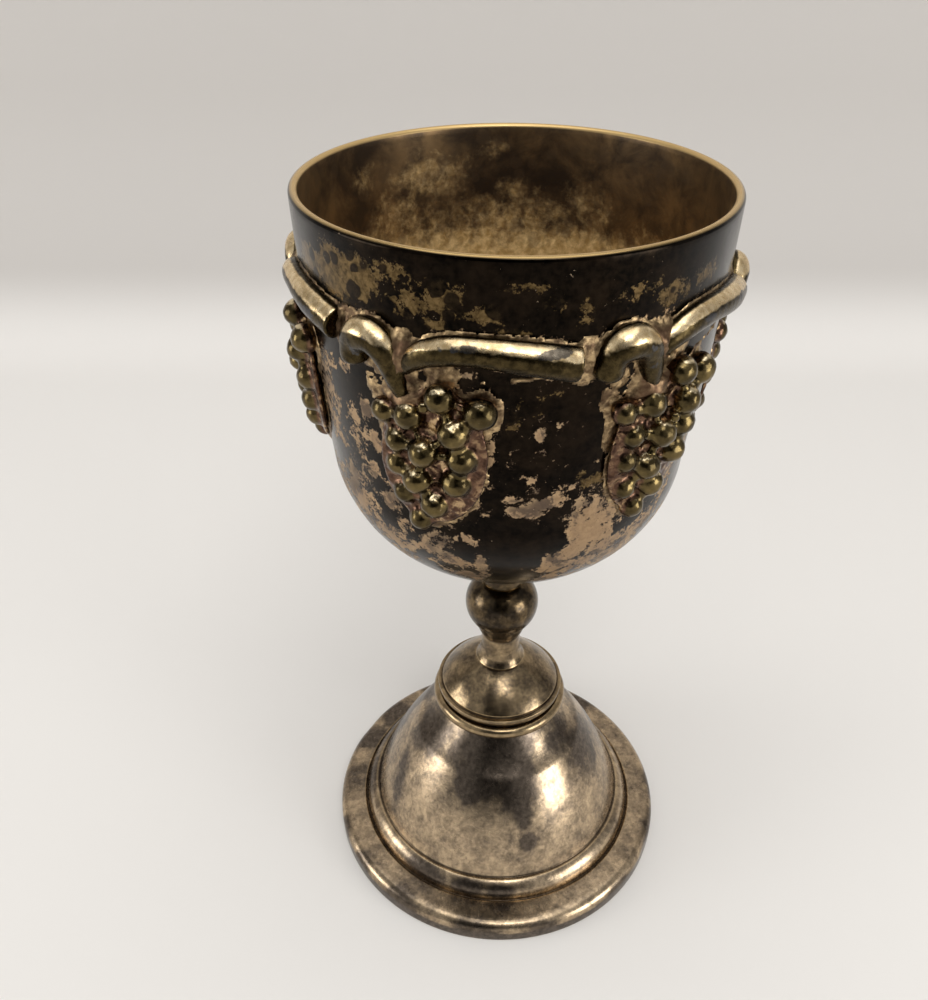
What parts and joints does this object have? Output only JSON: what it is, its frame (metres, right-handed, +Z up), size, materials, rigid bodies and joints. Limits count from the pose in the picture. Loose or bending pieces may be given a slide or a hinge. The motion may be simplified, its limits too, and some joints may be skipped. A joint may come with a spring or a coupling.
{
  "type": "communion chalice",
  "caption": "Silver-plated footed cup with a vine and hanging grape bunches soldered round it, a knopped stem and a bell-shaped foot held by a stud.",
  "frame": {"origin": "centre of the circle on which the foot stands", "axes": "+Z up along the chalice's axis; -Y is the front, between grape_bunch_1 and grape_bunch_2; +X is to the right seen from the front"},
  "size_m": [0.0828, 0.0828, 0.165],
  "materials": {
    "cup_plate": "silver plate under glossy near-black tarnish, worn through to tan brass in ragged patches, gilt-coloured inside",
    "vine_plate": "cast and silver plated, rubbed bright pale gold on the crests, olive brown beneath",
    "grape_plate": "cast and silver plated, dark olive amber gloss with bright upper edges and reddish crevices",
    "stem_plate": "silver plate, tarnished dark with bronze patches",
    "foot_plate": "silver plate, mottled bronze tan and dark grey",
    "brass_stud": "bare brass, dulled brown",
    "brass_hardware": "bare brass, dulled brown"
  },
  "bodies": {
    "root": {"cup": "cup_plate", "tie_stud": "brass_stud", "upper_stem": "stem_plate", "stem_knop": "stem_plate", "lower_stem": "stem_plate", "collar_disc": "foot_plate", "collar_ring": "foot_plate", "foot": "foot_plate", "foot_washer": "brass_hardware", "foot_nut": "brass_hardware", "vine_branch_1": "vine_plate", "vine_branch_2": "vine_plate", "vine_branch_3": "vine_plate", "vine_branch_4": "vine_plate", "vine_branch_5": "vine_plate", "vine_branch_6": "vine_plate", "vine_scroll_1": "vine_plate", "vine_scroll_2": "vine_plate", "vine_scroll_3": "vine_plate", "vine_scroll_4": "vine_plate", "vine_scroll_5": "vine_plate", "vine_scroll_6": "vine_plate", "grape_bunch_1": "grape_plate", "grape_bunch_2": "grape_plate", "grape_bunch_3": "grape_plate", "grape_bunch_4": "grape_plate", "grape_bunch_5": "grape_plate", "grape_bunch_6": "grape_plate"}
  },
  "joints": []
}
